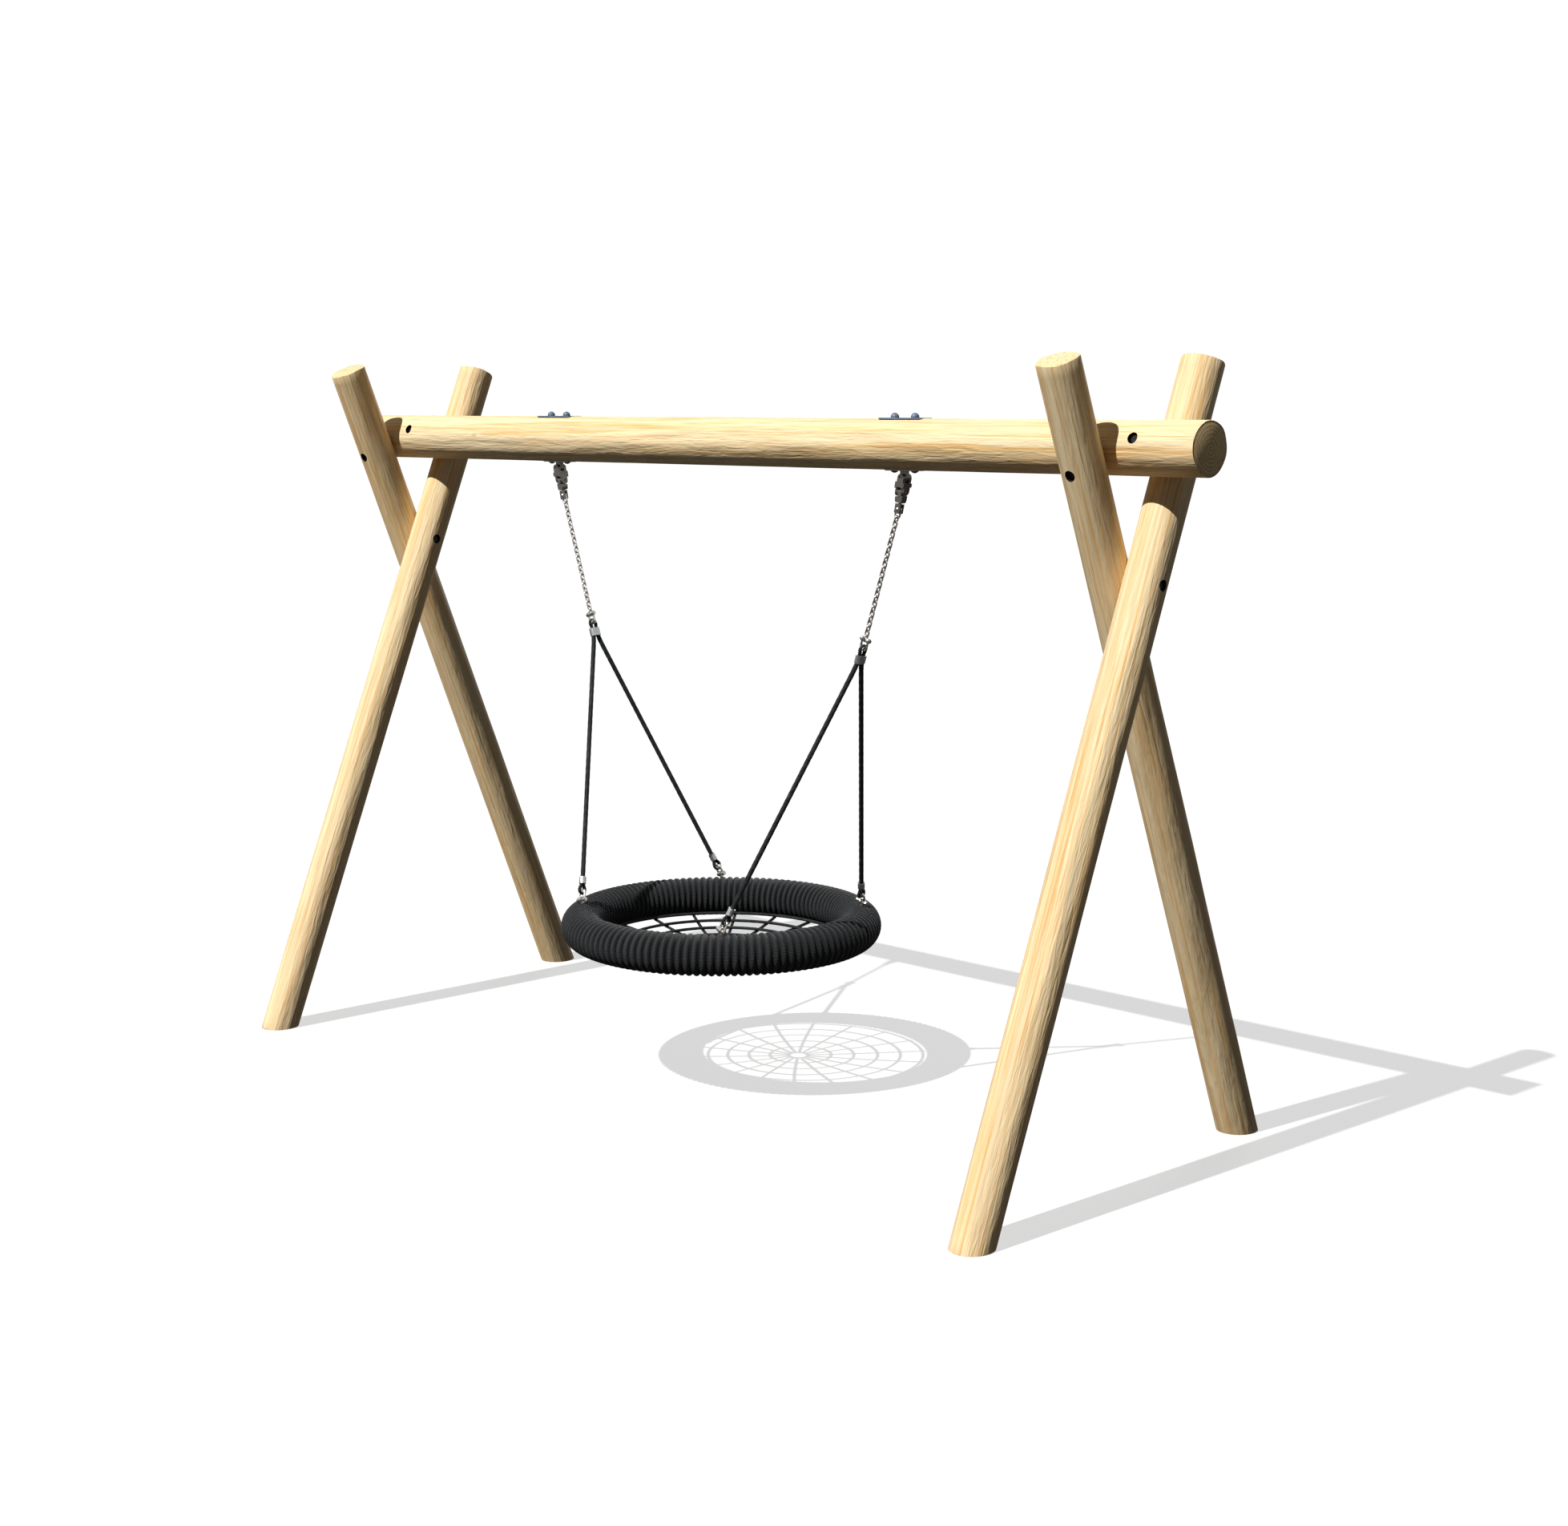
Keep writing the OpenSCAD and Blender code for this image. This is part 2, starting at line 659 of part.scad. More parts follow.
module oval(grow) {
    r = rope_r + gap + grow;
    for (s = SIDES) translate([0, s * rope_half]) circle(r);
    square([2 * r, 2 * rope_half], center = true);
}
module ferrule(side) {
    color("lightslategray") end(side) at_bridle_line() translate([0, 0, -eye_leg - 1 - ferrule_h])
        linear_extrude(ferrule_h) difference() {
            oval(ferrule_wall);
            oval(0);
        }
}
module ferrule_left() { ferrule(-1); }
module ferrule_right() { ferrule(1); }
module ferrules_lower() {
    color(bright) corners() at_rope_line() translate([0, 0, shackle_len + low_eye_leg + 2]) difference() {
        cylinder(r = low_ferrule_r, h = low_ferrule_h);
        translate([0, 0, -1]) cylinder(r = rope_r + gap, h = low_ferrule_h + 2);
    }
}

// Ring

module ring_shackles() { color(bright) corners() at_rope_line() rotate([180, 0, 0]) shackle(); }
module ring_shackle_pins() { color(bright) corners() at_rope_line() shackle_pin(); }
module lug_stem(r, low, high) { translate([lug_x, lug_y, low]) cylinder(r = r, h = high - low); }
module ring_lugs() {
    color(bright) corners() difference() {
        union() {
            at_rope_line() rotate([0, 90, 0]) cylinder(r = lug_r, h = lug_t, center = true);
            lug_stem(lug_stem_r, ring_z + core_r + gap, lug_z - lug_r / 2);
        }
        at_rope_line() rotate([0, 90, 0]) cylinder(r = shackle_r + run, h = 2 * lug_t, center = true);
    }
}
module ring_shell(inner, outer) {
    difference() {
        translate([0, 0, ring_z]) rotate_extrude($fn = 180) translate([ring_r, 0]) difference() {
            circle(outer);
            circle(inner);
        }
        if (inner > core_r) corners() lug_stem(lug_stem_r + gap, ring_z, lug_z);
    }
}
module ring_tube() { color(steel_dark) ring_shell(core_r - core_wall, core_r); }
module ring_foam() { color("gray") ring_shell(core_r + gap, foam_r); }
module ring_wrap() { color(black) ring_shell(foam_r + gap, wrap_r); }

// Net

module net_spokes() {
    color(black) difference() {
        for (k = [0 : spokes - 1])
            translate([0, 0, bowl_z]) rotate([0, 0, (k + 0.5) * 360 / spokes]) rotate([90, 0, 0])
                rotate([0, 0, spoke_start - 90])
                    rotate_extrude(angle = net_angle - spoke_start, $fn = 720) translate([bowl_r, 0])
                        circle(net_r, $fn = 24);
        translate([0, 0, ring_z]) rotate_extrude($fn = 360) translate([ring_r, 0]) circle(wrap_r + gap);
    }
}
module net_hoops() {
    color(black) for (share = HOOPS) {
        a = asin(share * net_rho / bowl_r);
        translate([0, 0, bowl_z - hoop_r * cos(a)]) rotate_extrude($fn = 144)
            translate([hoop_r * sin(a), 0]) circle(net_r, $fn = 24);
    }
}
module net_eye() {
    color(black) translate([0, 0, bowl_z - bowl_r * cos(spoke_start)]) rotate_extrude($fn = 96)
        translate([net_eye_r, 0]) circle(eye_tube_r);
}

leg_left_front();
leg_left_rear();
leg_right_front();
leg_right_rear();
beam();
frame_bolts();
frame_washers();
frame_nuts();
top_plate_left();
top_plate_right();
cap_nuts();
hanger_bolts();
hanger_base_left();
hanger_base_right();
upper_pins();
gimbal_left();
gimbal_right();
lower_pins();
clevis_left();
clevis_right();
clevis_bushes();
swivel_left();
swivel_right();
swivel_collars();
swivel_pins();
chain_left();
chain_right();
apex_shackle_left();
apex_shackle_right();
apex_pins();
thimbles_upper();
rope_left();
rope_right();
ferrule_left();
ferrule_right();
ferrules_lower();
thimbles_lower();
ring_shackles();
ring_shackle_pins();
ring_lugs();
ring_tube();
ring_foam();
ring_wrap();
net_spokes();
net_hoops();
net_eye();
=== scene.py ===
import math

import bpy
from mathutils import Matrix, Vector


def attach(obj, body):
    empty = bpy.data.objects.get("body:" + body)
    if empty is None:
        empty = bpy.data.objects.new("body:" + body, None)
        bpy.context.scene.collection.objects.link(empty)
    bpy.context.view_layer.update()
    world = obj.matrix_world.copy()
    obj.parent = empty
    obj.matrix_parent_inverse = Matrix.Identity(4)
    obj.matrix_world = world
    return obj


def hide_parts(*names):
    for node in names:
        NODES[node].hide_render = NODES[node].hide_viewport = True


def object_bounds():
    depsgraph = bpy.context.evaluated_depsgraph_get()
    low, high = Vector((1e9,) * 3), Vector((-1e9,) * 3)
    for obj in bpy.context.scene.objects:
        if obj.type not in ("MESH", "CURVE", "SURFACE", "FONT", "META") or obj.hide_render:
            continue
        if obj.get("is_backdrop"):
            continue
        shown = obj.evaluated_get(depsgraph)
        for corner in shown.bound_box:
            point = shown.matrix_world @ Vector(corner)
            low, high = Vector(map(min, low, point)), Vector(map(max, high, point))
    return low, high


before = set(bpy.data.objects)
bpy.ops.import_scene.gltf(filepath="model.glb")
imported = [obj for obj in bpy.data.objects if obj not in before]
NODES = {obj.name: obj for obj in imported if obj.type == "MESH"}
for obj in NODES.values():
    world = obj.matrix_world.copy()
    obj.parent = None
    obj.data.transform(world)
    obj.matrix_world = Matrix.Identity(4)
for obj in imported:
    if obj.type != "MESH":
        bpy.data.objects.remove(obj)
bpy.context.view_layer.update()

# Sizes are in metres. X runs along the beam, Y is the way the basket swings and Z is up, and the
# origin lies on the ground under the middle of the beam.

GAP = 0.0002              # between pieces that lie on each other

# The log frame
BEAM_Z = 2.376            # height of the beam's axis
BEAM_R = 0.088
BEAM_HALF = 2.159         # half the beam's length
FRAME_X = 1.857           # from the middle of the swing to each crossed pair of legs
LEG_SIDE = 0.0685         # from the middle of a pair to each of its legs
LEG_R = 0.0715
LEG_LEAN = math.radians(22)
CROSS_Z = 1.95422         # height at which the legs of a pair cross
LEG_BELOW = 2.1376        # length of a leg under the crossing, before its foot is cut level
LEG_ABOVE = 0.746

# How the logs are worked
LOG_SIDES = 72
LOG_FACE = 0.035          # length of a face along a log
LOG_EASE = 0.003          # width of the eased edges at its ends
LOG_UNEVEN = 0.0026       # from the lowest to the highest of its bumps
LOG_UNDER = 0.0008        # how much thinner it starts, so that the bumps stay near the true round
LOG_SHORT = 0.2           # its length while the bumps are made, as a share of the real one
LOG_BUMPS = 0.11          # size of a bump across the log

# The bolts of the log frame and the sunk holes at their ends
BOLT_REACH = 0.2295       # from the beam's axis to the outer side of a leg
BEAM_BOLT = 0.3175        # from there to the far side of the beam
CROSS_BOLT = 0.280        # through two legs where they cross
SINK_R = 0.0185
SINK_DEEP = 0.026
SINK_CLEAR = 0.09         # how far the cutter of a sunk hole stands out of the wood
SADDLE_SIDES = 96
SADDLE_CLEAR = 0.1        # how far the cutter of a leg's saddle goes past the beam's ends

# The flats on the beam for the plates of the hangers
HANGER_X = 0.912          # from the middle of the swing to each hanger
PLATE_LOW = 2.292         # level of the flat for the lower plate
PLATE_TOP = 2.460         # level of the flat for the upper plate
FLAT_LOW_HALF = 0.076     # half the flats' lengths
FLAT_TOP_HALF = 0.096
FLAT_CLEAR = 0.1          # height of a flat's cutter
FLAT_ACROSS = 0.3

# How ropes and cords are laid
VALLEY = 0.87             # radius between two strands, as a share of the rope's
LAY_STEPS = 9             # faces along a rope for each turn of a strand
SOFT_EDGE = 60            # faces that meet under this angle, in degrees, look like one

# The ropes of the right rear side: the others are its mirror images
APEX = Vector((0.722, 0, 1.66478))              # the pin that chain and ropes hang from
BRIDLE_LEAN = math.radians(18.909)
LUG = Vector((0.380822, 0.361386, 0.668776))    # the pin on the ring
ROPE_TILT = math.radians(20.40)
ROPE_SIDE = math.radians(17.80)
ROPE_LEN = 1.06094        # from the lug's pin to where the ropes part
ROPE_HALF = 0.0093        # half the distance of the two ropes in an upper ferrule
ROPE_R = 0.009
ROPE_STRANDS = 6
ROPE_LAY = 0.062          # length over which a strand goes once round
RUN_LOW = 0.064           # from the lug's pin to the end of a run, in the lower ferrule
RUN_HIGH = 0.030          # from the apex to the other end, in the upper ferrule
RUN_BEND = 0.045          # length of the bend under the upper ferrule
RUN_STEPS = 12
BEND_STEPS = 10
EYE_R = 0.007             # half the thickness of the rope in an eye
EYE_STRANDS = 5
EYE_LAY = 0.05
EYE_LINE = 0.0132         # radius of an eye's middle line
LOW_EYE_HALF = 0.0018     # half the distance between the legs of a lower eye
LOW_EYE_LEG = 0.0265      # length of those legs
HIGH_EYE_LEG = 0.024
EYE_STEPS = 24            # points round an eye's arc
LEG_STEPS = 4             # points along each of its legs
SHACKLE_LEN = 0.038       # from the lug's pin to the shackle's bow, which the eye goes round

# The ring and the net
RING_R = 0.525            # radius of the ring's middle line
RING_Z = 0.579276
RING_TUBE = 0.0755        # radius of the wound tube
RING_SIDES = 40
TURNS = 126               # turns of rope round the tube
TURN_DIP = 0.0085         # depth of the valley between two turns
TURN_STEPS = 8            # faces across a turn
NET_RHO = 0.490           # radius of the net's edge
NET_REACH = 0.965         # where the spokes end in the ring, as a share of that radius
BOWL_R = 2.75041          # radius of the sphere that the net's bowl is part of
BOWL_Z = 3.22369          # height of its middle
CORD_R = 0.006
CORD_STRANDS = 4
CORD_LAY = 0.04
SPOKES = 18
SPOKE_STEPS = 14
HOOPS = (0.245, 0.42, 0.6, 0.77, 0.935)         # the hoops' radii, as shares of the net's
NET_EYE_R = 0.038         # radius of the middle line of the net's centre ring
NET_EYE_TUBE_R = 0.007
NET_EYE_STRANDS = 5
NET_EYE_STEPS = 48
HOOP_STEPS = 96


# ---- The camera and the light ----

def sunlight(name, towards, energy, width, colour=(1, 1, 1)):
    """A sun in the direction given, seen from the swing. Its width on the sky is in degrees."""
    lamp = bpy.data.objects.new(name, bpy.data.lights.new(name, "SUN"))
    bpy.context.scene.collection.objects.link(lamp)
    lamp.rotation_euler = Vector(towards).to_track_quat("Z", "Y").to_euler()
    lamp.data.energy = energy
    lamp.data.angle = math.radians(width)
    lamp.data.color = colour


camera = bpy.data.objects.new("camera", bpy.data.cameras.new("camera"))
bpy.context.scene.collection.objects.link(camera)
camera.location = (6.4621, -6.1128, 2.5102)
camera.rotation_euler = (math.radians(90 - 8.446), 0, math.radians(45.076))
camera.data.lens = 55.47
camera.data.sensor_width = 36
camera.data.clip_end = 200
bpy.context.scene.camera = camera
bpy.context.scene.view_settings.view_transform = "Standard"

sunlight("sun", (-0.045, -0.823, 1), 4.7, 0.5, (1, 0.99, 0.97))
# A weak, soft light from the other side lifts the dark metal under the beam
sunlight("fill", (-0.45, 0.85, 0.35), 0.8, 30)


# ---- Small tools ----

def linear(code):
    """A hex colour, as a painter's chart gives it, in the linear values that shaders use."""
    parts = [int(code[k:k + 2], 16) / 255 for k in (1, 3, 5)]
    return tuple(p / 12.92 if p <= 0.04045 else ((p + 0.055) / 1.055) ** 2.4 for p in parts) + (1,)


def add(tree, kind, links=(), **settings):
    """Adds one node. links gives its inputs, by name or number, as values or as other nodes' outputs."""
    made = tree.nodes.new("ShaderNode" + kind)
    for name, value in settings.items():
        setattr(made, name, value)
    for name, value in dict(links).items():
        if isinstance(value, bpy.types.NodeSocket):
            tree.links.new(value, made.inputs[name])
        else:
            made.inputs[name].default_value = value
    return made


def start(name):
    """A new material, its node tree and its shader."""
    material = bpy.data.materials.new(name)
    material.use_nodes = True
    return material, material.node_tree, material.node_tree.nodes["Principled BSDF"]


def shades(tree, factor, *stops):
    """A colour ramp through (place, hex) stops."""
    ramp = add(tree, "ValToRGB", {"Fac": factor})
    points = ramp.color_ramp.elements
    while len(points) < len(stops):
        points.new(0.5)
    for point, (place, code) in zip(points, stops):
        point.position = place
        point.color = linear(code)
    return ramp.outputs["Color"]


def tell(material, tree, shader, bump=None, strength=0.5, distance=0.001, **links):
    """Joins the bump and the other inputs, named with _ for each space, to the shader."""
    for name, value in links.items():
        socket = shader.inputs[name.replace("_", " ")]
        if isinstance(value, bpy.types.NodeSocket):
            tree.links.new(value, socket)
        else:
            socket.default_value = value
    if bump is not None:
        lift = add(tree, "Bump", {"Height": bump, "Strength": strength, "Distance": distance})
        tree.links.new(lift.outputs["Normal"], shader.inputs["Normal"])
    return material


# ---- Finishes ----

def peeled_larch(name, place, turn, radius):
    """Peeled and oiled larch: cream wood in long bands with honey-coloured streaks and thin fibre
    along the log, growth rings on its cut ends, a few faint knots, and the soft ripples that
    peeling leaves."""
    material, tree, shader = start(name)
    where = add(tree, "TexCoord").outputs["Object"]
    along = add(tree, "Mapping", {"Vector": where, "Location": place, "Rotation": turn},
                vector_type="TEXTURE").outputs["Vector"]
    flat = add(tree, "VectorMath", {0: along, 1: (1, 1, 0)}, operation="MULTIPLY").outputs[0]
    out = add(tree, "VectorMath", {0: flat}, operation="LENGTH").outputs[1]
    # 1 on the round surface of the log and 0 on its cut ends
    skin = add(tree, "MapRange", {"Value": out, 1: radius - 0.007, 2: radius - 0.003,
                                  3: 0, 4: 1}).outputs[0]
    # What is drawn along the wood is about 60 times as long as it is wide
    drawn = add(tree, "VectorMath", {0: along, 1: (1, 1, 0.016)}, operation="MULTIPLY").outputs[0]
    # Rings 12 mm apart, broad enough to show
    rings = add(tree, "TexWave", {"Vector": drawn, "Scale": 26, "Distortion": 5, "Detail": 2,
                                  "Detail Scale": 0.5, "Detail Roughness": 0.5},
                wave_type="RINGS", rings_direction="Z").outputs["Fac"]
    # Bands 30 mm wide, streaks 9 mm wide, and fibre 3 mm wide and 190 mm long
    bands = add(tree, "TexNoise", {"Vector": drawn, "Scale": 34, "Detail": 2,
                                   "Roughness": 0.5}).outputs["Fac"]
    streaks = add(tree, "TexNoise", {"Vector": drawn, "Scale": 110, "Detail": 3,
                                     "Roughness": 0.55}).outputs["Fac"]
    fibre = add(tree, "TexNoise", {"Vector": drawn, "Scale": 330, "Detail": 3,
                                   "Roughness": 0.5}).outputs["Fac"]
    wood = shades(tree, bands, (0.32, "#EACAA4"), (0.45, "#F2D8AC"), (0.56, "#F6E1BA"),
                  (0.68, "#F0CF9A"))
    grown = shades(tree, rings, (0, "#F8E7BC"), (0.6, "#F2DAA4"), (1, "#DDB06C"))
    share = add(tree, "MapRange", {"Value": skin, 3: 1, 4: 0.3}).outputs[0]
    base = add(tree, "Mix", {0: share, 6: wood, 7: grown}, data_type="RGBA").outputs[2]
    honey = add(tree, "MapRange", {"Value": streaks, 1: 0.52, 2: 0.64, 3: 0, 4: 0.65}).outputs[0]
    base = add(tree, "Mix", {0: honey, 6: base, 7: linear("#E2AA5C")}, data_type="RGBA").outputs[2]
    grey = add(tree, "MapRange", {"Value": streaks, 1: 0.45, 2: 0.3, 3: 0, 4: 0.4}).outputs[0]
    base = add(tree, "Mix", {0: grey, 6: base, 7: linear("#D6BC98")}, data_type="RGBA").outputs[2]
    thin = shades(tree, fibre, (0.32, "#BFA47C"), (0.46, "#FFFFFF"))
    base = add(tree, "Mix", {0: 0.38, 6: base, 7: thin}, data_type="RGBA",
               blend_type="MULTIPLY").outputs[2]
    # Faint knots about 20 mm wide and twice as long, roughly half a metre apart along the log
    spots = add(tree, "VectorMath", {0: along, 1: (1, 1, 0.5)}, operation="MULTIPLY").outputs[0]
    knot = add(tree, "TexVoronoi", {"Vector": spots, "Scale": 4.3}, feature="F1").outputs["Distance"]
    knot = add(tree, "MapRange", {"Value": knot, 1: 0.02, 2: 0.06, 3: 0.4, 4: 0},
               interpolation_type="SMOOTHSTEP").outputs[0]
    base = add(tree, "Mix", {0: knot, 6: base, 7: linear("#A07B50")}, data_type="RGBA").outputs[2]
    # Soft ripples 10 mm wide and 80 mm long over facets four times that size
    ripples = add(tree, "VectorMath", {0: along, 1: (1, 1, 0.13)}, operation="MULTIPLY").outputs[0]
    facets = add(tree, "TexNoise", {"Vector": ripples, "Scale": 24, "Detail": 0}).outputs["Fac"]
    ripples = add(tree, "TexNoise", {"Vector": ripples, "Scale": 96, "Detail": 2, "Roughness": 0.45,
                                     "Distortion": 0.5}).outputs["Fac"]
    height = add(tree, "Math", {0: ripples, 1: 0.4, 2: facets}, operation="MULTIPLY_ADD").outputs[0]
    height = add(tree, "Math", {0: fibre, 1: 0.03, 2: height}, operation="MULTIPLY_ADD").outputs[0]
    height = add(tree, "Math", {0: height, 1: skin}, operation="MULTIPLY").outputs[0]
    rough = add(tree, "MapRange", {"Value": fibre, 3: 0.5, 4: 0.66}).outputs[0]
    return tell(material, tree, shader, bump=height, strength=1, distance=0.0075, Base_Color=base,
                Roughness=rough, Specular_IOR_Level=0.2)


def painted_shade_hole():
    """Painted shade inside a bolt hole: the wood there is coloured near black, dull, with lumps of 3 mm."""
    material, tree, shader = start("painted_shade_in_bolt_hole")
    where = add(tree, "TexCoord").outputs["Object"]
    lumps = add(tree, "TexNoise", {"Vector": where, "Scale": 300, "Detail": 3,
                                   "Roughness": 0.6}).outputs["Fac"]
    colour = shades(tree, lumps, (0.3, "#0B0A09"), (0.7, "#1B1815"))
    return tell(material, tree, shader, bump=lumps, strength=0.4, distance=0.0005, Base_Color=colour,
                Roughness=0.7, Specular_IOR_Level=0.2)


def wound_rope():
    """Black polyester rope wound on the ring. Matt, with braid ribs that cross every turn, a painted
    grey highlight along the middle of each turn, and painted shade in the valleys between turns and in
    the troughs between ribs."""
    material, tree, shader = start("black_wound_polyester_rope")
    where = add(tree, "TexCoord").outputs["Object"]
    parts = add(tree, "SeparateXYZ", {0: where}).outputs
    flat = add(tree, "CombineXYZ", {0: parts[0], 1: parts[1]}).outputs[0]
    out = add(tree, "VectorMath", {0: flat}, operation="LENGTH").outputs[1]
    out = add(tree, "Math", {0: out, 1: RING_R}, operation="SUBTRACT").outputs[0]
    up = add(tree, "Math", {0: parts[2], 1: RING_Z}, operation="SUBTRACT").outputs[0]
    round_tube = add(tree, "Math", {0: up, 1: out}, operation="ARCTAN2").outputs[0]
    round_ring = add(tree, "Math", {0: parts[1], 1: parts[0]}, operation="ARCTAN2").outputs[0]
    # Ribs 5.3 mm apart, 90 round the tube, a little coarser than the braid so that they show
    rib = add(tree, "Math", {0: round_tube, 1: 90}, operation="MULTIPLY").outputs[0]
    rib = add(tree, "Math", {0: rib}, operation="SINE").outputs[0]
    # Painted shade: each turn is darker down at its sides, in the valley against the next, and lighter
    # along its middle as a painted highlight
    side = add(tree, "Math", {0: round_ring, 1: TURNS}, operation="MULTIPLY").outputs[0]
    side = add(tree, "Math", {0: side}, operation="COSINE").outputs[0]
    # Fluff of 4 mm, and wear in patches of 140 mm
    fluff = add(tree, "TexNoise", {"Vector": where, "Scale": 260, "Detail": 3,
                                   "Roughness": 0.6}).outputs["Fac"]
    wear = add(tree, "TexNoise", {"Vector": where, "Scale": 7, "Detail": 3,
                                  "Roughness": 0.6}).outputs["Fac"]
    # Painted shade: the colour is darker in the troughs between ribs and lighter on their crests, in
    # step with their relief
    shade = add(tree, "MapRange", {"Value": rib, 1: -1, 2: 1, 3: 0.25, 4: 0.5}).outputs[0]
    shade = add(tree, "Math", {0: wear, 1: 0.3, 2: shade}, operation="MULTIPLY_ADD").outputs[0]
    # Here the painted shade and painted highlight of each turn go into its colour
    shade = add(tree, "Math", {0: side, 1: -0.3, 2: shade}, operation="MULTIPLY_ADD").outputs[0]
    colour = shades(tree, shade, (0.1, "#070808"), (0.5, "#1B1C1E"), (0.9, "#34373A"))
    height = add(tree, "Math", {0: fluff, 1: 0.35, 2: rib}, operation="MULTIPLY_ADD").outputs[0]
    return tell(material, tree, shader, bump=height, strength=0.9, distance=0.0009, Base_Color=colour,
                Roughness=0.6, Sheen_Weight=0.05, Specular_IOR_Level=0.15)


def twisted_rope(name, nap):
    """Black polyester yarn over a steel core. The strands are in the shape. The yarn adds a nap of
    about 1 mm, given as its number to the metre, and dust greys it in patches of 30 mm."""
    material, tree, shader = start(name)
    where = add(tree, "TexCoord").outputs["Object"]
    yarn = add(tree, "TexNoise", {"Vector": where, "Scale": nap, "Detail": 4,
                                  "Roughness": 0.65}).outputs["Fac"]
    dust = add(tree, "TexNoise", {"Vector": where, "Scale": 35, "Detail": 3,
                                  "Roughness": 0.6}).outputs["Fac"]
    both = add(tree, "Math", {0: yarn, 1: dust}, operation="MULTIPLY").outputs[0]
    colour = shades(tree, both, (0.12, "#0F1012"), (0.26, "#1E2022"), (0.42, "#363A3A"))
    return tell(material, tree, shader, bump=yarn, strength=0.5, distance=0.0006, Base_Color=colour,
                Roughness=0.68, Sheen_Weight=0.05, Specular_IOR_Level=0.2)


def bright_stainless():
    """Forged and tumbled stainless steel: bright, with a soft gloss mottled in spots of 6 mm, and thin
    marks 2.4 mm long and 0.4 mm high from the tumbling."""
    material, tree, shader = start("tumbled_stainless_steel")
    where = add(tree, "TexCoord").outputs["Object"]
    mottle = add(tree, "TexNoise", {"Vector": where, "Scale": 160, "Detail": 4,
                                    "Roughness": 0.6}).outputs["Fac"]
    squeezed = add(tree, "VectorMath", {0: where, 1: (1, 1, 6)}, operation="MULTIPLY").outputs[0]
    marks = add(tree, "TexNoise", {"Vector": squeezed, "Scale": 420, "Detail": 2}).outputs["Fac"]
    colour = shades(tree, mottle, (0.3, "#C2BEB8"), (0.6, "#DDDAD5"), (0.8, "#EAE8E4"))
    rough = add(tree, "MapRange", {"Value": mottle, 1: 0.3, 2: 0.7, 3: 0.22, 4: 0.4}).outputs[0]
    return tell(material, tree, shader, bump=marks, strength=0.25, distance=0.0003, Base_Color=colour,
                Roughness=rough, Metallic=1.0)


def coated_steel(name, dark, worn, rough_low, rough_high, grain, metal):
    """Steel under a thin dark coating: even colour, an orange peel with grain as its number to the
    metre, and a paler tone where it is rubbed, in patches of 26 mm."""
    material, tree, shader = start(name)
    where = add(tree, "TexCoord").outputs["Object"]
    peel = add(tree, "TexNoise", {"Vector": where, "Scale": grain, "Detail": 3,
                                  "Roughness": 0.55}).outputs["Fac"]
    rubbed = add(tree, "TexNoise", {"Vector": where, "Scale": 38, "Detail": 5,
                                    "Roughness": 0.7}).outputs["Fac"]
    colour = shades(tree, rubbed, (0.42, dark), (0.62, dark), (0.78, worn))
    rough = add(tree, "MapRange", {"Value": peel, 1: 0.3, 2: 0.7,
                                   3: rough_low, 4: rough_high}).outputs[0]
    return tell(material, tree, shader, bump=peel, strength=0.35, distance=0.0003, Base_Color=colour,
                Roughness=rough, Metallic=metal)


def moulded_plastic():
    """Slate-blue moulded polyamide: satin, with the spark-eroded grain of its mould, 1.3 mm wide, and a
    chalky bloom in patches of 40 mm."""
    material, tree, shader = start("slate_blue_polyamide")
    where = add(tree, "TexCoord").outputs["Object"]
    grain = add(tree, "TexNoise", {"Vector": where, "Scale": 800, "Detail": 2}).outputs["Fac"]
    bloom = add(tree, "TexNoise", {"Vector": where, "Scale": 24, "Detail": 4,
                                   "Roughness": 0.6}).outputs["Fac"]
    colour = shades(tree, bloom, (0.3, "#566577"), (0.55, "#65758A"), (0.8, "#7C8A9B"))
    rough = add(tree, "MapRange", {"Value": bloom, 1: 0.3, 2: 0.7, 3: 0.38, 4: 0.55}).outputs[0]
    return tell(material, tree, shader, bump=grain, strength=0.3, distance=0.0002, Base_Color=colour,
                Roughness=rough)


def pressed_metal(name, low, high, rough):
    """Soft metal from a die or a lathe: satin, with faint marks of 2 mm and stains of 17 mm."""
    material, tree, shader = start(name)
    where = add(tree, "TexCoord").outputs["Object"]
    marks = add(tree, "TexNoise", {"Vector": where, "Scale": 500, "Detail": 3,
                                   "Roughness": 0.6}).outputs["Fac"]
    stain = add(tree, "TexNoise", {"Vector": where, "Scale": 60, "Detail": 4,
                                   "Roughness": 0.6}).outputs["Fac"]
    colour = shades(tree, stain, (0.3, low), (0.7, high))
    spread = add(tree, "MapRange", {"Value": stain, 1: 0.3, 2: 0.7,
                                    3: rough, 4: rough + 0.15}).outputs[0]
    return tell(material, tree, shader, bump=marks, strength=0.3, distance=0.0003, Base_Color=colour,
                Roughness=spread, Metallic=1.0)


ring_finish = wound_rope()
rope_finish = twisted_rope("black_steel_core_rope", 900)
cord_finish = twisted_rope("black_net_cord", 1100)
stainless = bright_stainless()
hanger_coat = coated_steel("dark_satin_coated_steel", "#7C7873", "#A09B94", 0.3, 0.42, 700, 0.8)
bolt_coat = coated_steel("black_coated_bolt_steel", "#0B0C0D", "#1A1918", 0.45, 0.6, 600, 0.3)
slate_blue = moulded_plastic()
aluminium = pressed_metal("pressed_aluminium", "#B4B7B9", "#DDDFE0", 0.3)
bronze = pressed_metal("turned_bronze", "#8E6A38", "#B48A4E", 0.3)
# The near-black lining of the bolt holes is painted shade
hole_shade = painted_shade_hole()


# ---- Making pieces ----

